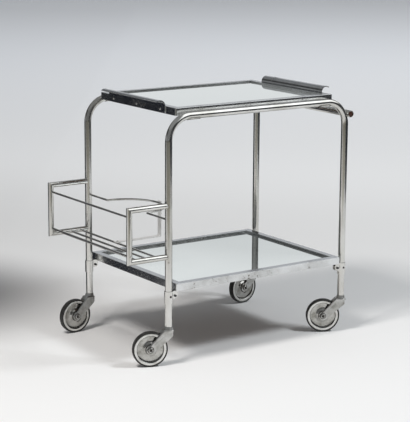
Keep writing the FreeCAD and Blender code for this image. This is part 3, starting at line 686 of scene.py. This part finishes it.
plywood, node, surface = shader("stained_plywood")
place = node("ShaderNodeTexCoord").outputs["Object"]
along_grain = node("ShaderNodeMapping", Vector=place, Scale=(3.0, 40.0, 40.0)).outputs["Vector"]
grain = noise(node, along_grain, Scale=4.0, Detail=9.0, Roughness=0.7, Distortion=0.6)
stain = two_tone(node, grain, (0.045, 0.024, 0.013), (0.13, 0.073, 0.040), 0.32, 0.7)
relief = node("ShaderNodeBump", Height=grain, Strength=0.35, Distance=0.0006).outputs["Normal"]
surface(Base_Color=stain, Roughness=0.55, Normal=relief)
dress(plywood, "lower_tray_board", "top_tray_board")

# Collars, rests and fasteners
# Split steel collars under the lower tray and bent rests under the upper one, plated with the
# frame. The handles' screws and the strap's rivets are plated too, the other screws and rivets are
# plain steel that has gone dark, and the clamp bolts' heads are painted black.
dark_steel = metal("dark_steel", (0.16, 0.155, 0.15), (0.09, 0.08, 0.07), 0.30, 0.20, patch=60.0)
dress(nickel, "tray_collars", "tray_rests")
dress(plain("black_paint", (0.010, 0.010, 0.011), Roughness=0.32), "clamp_bolts")
dome_steps, head_segments = 8, 24
slot_width = 0.0009


def round_head(name, head_d, head_h, shank_d, depth, material, slot_deep=0.0):
    # A round-headed screw or rivet along Z with its head's flat side at Z = 0, slotted if asked
    ball = (head_d ** 2 / 4 + head_h ** 2) / (2 * head_h)
    spread = asin(head_d / 2 / ball)
    dome = [(ball * sin(spread * k / dome_steps), head_h - ball + ball * cos(spread * k / dome_steps))
            for k in range(dome_steps + 1)]
    shank = [(shank_d / 2, 0), (shank_d / 2, -depth), (0, -depth)]
    item = lathed(name, dome + shank, (0, 0, 0), z_axis, material, head_segments)
    if not slot_deep:
        return item
    work = bmesh.new()
    blade_size = Matrix.Diagonal((head_d * 1.2, slot_width, slot_deep * 2, 1))
    bmesh.ops.create_cube(work, matrix=Matrix.Translation((0, 0, head_h)) @ blade_size)
    blade_mesh = bpy.data.meshes.new("blade")
    work.to_mesh(blade_mesh)
    work.free()
    blade = placed("blade", blade_mesh)
    cut = item.modifiers.new("slot", "BOOLEAN")
    cut.operation, cut.object, cut.solver = "DIFFERENCE", blade, "EXACT"
    graph = bpy.context.evaluated_depsgraph_get()
    mesh = bpy.data.meshes.new_from_object(item.evaluated_get(graph))
    item.modifiers.clear()
    item.data = mesh
    bpy.data.objects.remove(blade)
    return item


head_d, head_h, shank_d, shank_l = 0.0064, 0.0022, 0.0028, 0.0115
low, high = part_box("handle_screws")
reach, level = high.y - head_d / 2, (low.z + high.z) / 2
screw = round_head("handle_screw", head_d, head_h, shank_d, shank_l, nickel, slot_deep=0.0012)
places = [((x, y, level), (side, 0, 0)) for x, side in ((low.x + head_h, -1), (high.x - head_h, 1))
          for y in (-reach, 0, reach)]
settle(row_of("tray_screws", screw, places, nickel), "upper_tray", "nickel", "handle_screws")

head_d, head_h, shank_d, shank_l = 0.0068, 0.0016, 0.003, 0.0025
low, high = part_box("collar_screws")
seat, level = high.y - head_h - legs["back_left"].y, (low.z + high.z) / 2
screw = round_head("collar_screw", head_d, head_h, shank_d, shank_l, dark_steel, slot_deep=0.0009)
places = []
for corner, leg in legs.items():
    side = -1 if corner.startswith("front") else 1
    places.append(((leg.x, leg.y + side * seat, level), (0, side, 0)))
settle(row_of("leg_screws", screw, places, dark_steel), "frame", "dark_steel", "collar_screws")

head_d, head_h, shank_d, shank_l = 0.0046, 0.0015, 0.0026, 0.003
rivet_seat, rivet_way, rivet_pitch = 0.0118, radians(-132), 0.032
low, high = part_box("rest_rivets")
left_x, right_x = low.x + head_d / 2, high.x - head_d / 2
rivet = round_head("rest_rivet", head_d, head_h, shank_d, shank_l, dark_steel)
places = []
for x in (left_x, left_x + rivet_pitch, right_x - rivet_pitch, right_x):
    for leg, side in ((legs["front_left"], 1), (legs["back_left"], -1)):
        way = Vector((0, side * cos(rivet_way), sin(rivet_way)))
        places.append((Vector((x, leg.y, top_z)) + way * rivet_seat, way))
settle(row_of("tray_rest_rivets", rivet, places, dark_steel), "frame", "dark_steel", "rest_rivets")

head_d, head_h, shank_d, shank_l = 0.007, 0.002, 0.004, 0.0085
low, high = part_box("strap_rivets")
rivet = round_head("strap_rivet", head_d, head_h, shank_d, shank_l, nickel)
places = [((high.x - head_h, 0, ring_z), x_axis), ((low.x + head_d / 2, 0, low.z + shank_l), z_axis)]
settle(row_of("strap_rivet_pair", rivet, places, nickel), "frame", "nickel", "strap_rivets")

# Casters
# Pressed steel forks under flared ferrules, headed axles, and thin rubber bands on pressed wheels.
# The wheels' rims are bright from use and their webs are dull. Narrow rings round the hubs and at the
# rims' feet are painted near black as shade, and each axle head has a painted-dark dimple and edge with
# a painted highlight ring between.
fork_steel = metal("fork_steel", (0.60, 0.60, 0.585), (0.39, 0.385, 0.36), 0.32, 0.16,
                   patch=46.0, dent=0.12, pits=0.64)
rim_steel = metal("rim_steel", (0.74, 0.74, 0.72), (0.55, 0.545, 0.52), 0.08, 0.12, patch=40.0)
web_steel = metal("web_steel", (0.50, 0.495, 0.475), (0.30, 0.295, 0.27), 0.14, 0.14,
                  patch=55.0, dent=0.10, pits=0.64)
# Near-black steel for painted shade in the wheels' creases and round the axle heads
painted_shade_steel = metal("steel_painted_shade", (0.07, 0.066, 0.06), (0.035, 0.033, 0.03), 0.35, 0.2, patch=90.0)
bronze = metal("bronze_bush", (0.52, 0.34, 0.16), (0.35, 0.22, 0.10), 0.30, 0.15, patch=80.0)
rubber, node, surface = shader("worn_rubber")
place = node("ShaderNodeTexCoord").outputs["Object"]
wear = noise(node, place, Scale=70.0, Detail=7.0, Roughness=0.65)
tone = two_tone(node, wear, (0.011, 0.0105, 0.010), (0.042, 0.040, 0.037), 0.35, 0.75)
relief = node("ShaderNodeBump", Height=wear, Strength=0.3, Distance=0.0004).outputs["Normal"]
surface(Base_Color=tone, Roughness=0.62, Normal=relief)


def paint_rings(piece, materials, centre, axis, bounds):
    # Gives each face the material of the ring that it lies in, counted outwards from the axis
    mesh = piece.data
    mesh.materials.clear()
    for material in materials:
        mesh.materials.append(material)
    for face in mesh.polygons:
        offset = face.center - centre
        away = (offset - axis * offset.dot(axis)).length
        face.material_index = sum(away > bound for bound in bounds)


def both_sides(half, *middle):
    # An outline that is the same on both sides of the wheel's middle
    return [*half, *middle, *((r, -a) for r, a in reversed(half))]


# Radius and distance from the wheel's middle: hub, dished web and rolled rim; tyre; axle's head
hub_edge, hub_foot, web_edge, rim_foot = 0.0128, 0.0146, 0.0365, 0.0379
rim_out, tyre_r, rim_side, seat = 0.0456, 0.0495, 0.0076, (0.0422, 0.0055)
disc_outline = both_sides([
    (0.0055, 0.0099), (0.0105, 0.0099), (0.0119, 0.0096), (hub_edge, 0.0088), (0.0135, 0.0074),
    (hub_foot, 0.0071), (0.0158, 0.0069), (0.0178, 0.0057), (0.0202, 0.0041), (0.0226, 0.0032),
    (0.0260, 0.0029), (0.0320, 0.0030), (0.0345, 0.0034), (web_edge, 0.0042), (0.0374, 0.0058),
    (rim_foot, 0.0069), (0.0385, 0.0074), (0.0392, rim_side), (0.0440, rim_side), (0.0450, 0.0073),
    (rim_out, 0.0066), (rim_out, 0.0055), seat])
tyre_outline = both_sides([
    seat, (rim_out, 0.0055), (rim_out, rim_side), (0.0460, 0.0085), (0.0470, 0.0090),
    (0.0482, 0.0086), (0.0487, 0.0076), (0.0491, 0.0055), (tyre_r - 0.0001, 0.0028)], (tyre_r, 0.0))
dimple, pin_face, pin_head = 0.0030, 0.0052, 0.0071
pin_outline = both_sides([
    (0.0, 0.0142), (0.0036, 0.0143), (0.0042, 0.0146), (0.0047, 0.0156), (pin_face, 0.0160),
    (0.0060, 0.0158), (0.0068, 0.0150), (0.0072, 0.0140), (0.0080, 0.0137), (0.0089, 0.0133),
    (0.0090, 0.0127), (0.0040, 0.0127)])
for corner in legs:
    low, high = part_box("wheel_" + corner)
    centre = (low + high) / 2
    away = Vector((centre.x - legs[corner].x, centre.y - legs[corner].y, 0)).normalized()
    axis = away.cross(z_axis)
    wheel = lathed("wheel_disc_" + corner, disc_outline, centre, axis, rim_steel, segments=96)
    # Painted shade: the rings between hub and web and at the rim's foot are painted near black
    paint_rings(wheel, (web_steel, painted_shade_steel, web_steel, painted_shade_steel, rim_steel), centre, axis,
                (hub_edge, hub_foot, web_edge, rim_foot))
    settle(wheel, "roller_" + corner, "wheel_metal", "wheel_" + corner)
    tyre = lathed("rubber_tyre_" + corner, tyre_outline, centre, axis, rubber, segments=112)
    settle(tyre, "roller_" + corner, "tyre", "tyre_" + corner)
    pin = lathed("axle_pin_" + corner, pin_outline, centre, axis, fork_steel, segments=48)
    # Painted light on the axle head: its dimple and its edge against the fork are painted dark as
    # shade, and the shoulder between is painted in bright rim steel as a highlight
    paint_rings(pin, (painted_shade_steel, web_steel, rim_steel, painted_shade_steel), centre, axis, (dimple, pin_face, pin_head))
    settle(pin, "swivel_" + corner, "caster_steel", "axle_" + corner)
    dress(fork_steel, "ferrule_" + corner, "stem_" + corner, "fork_" + corner)
    dress(bronze, "bush_" + corner)
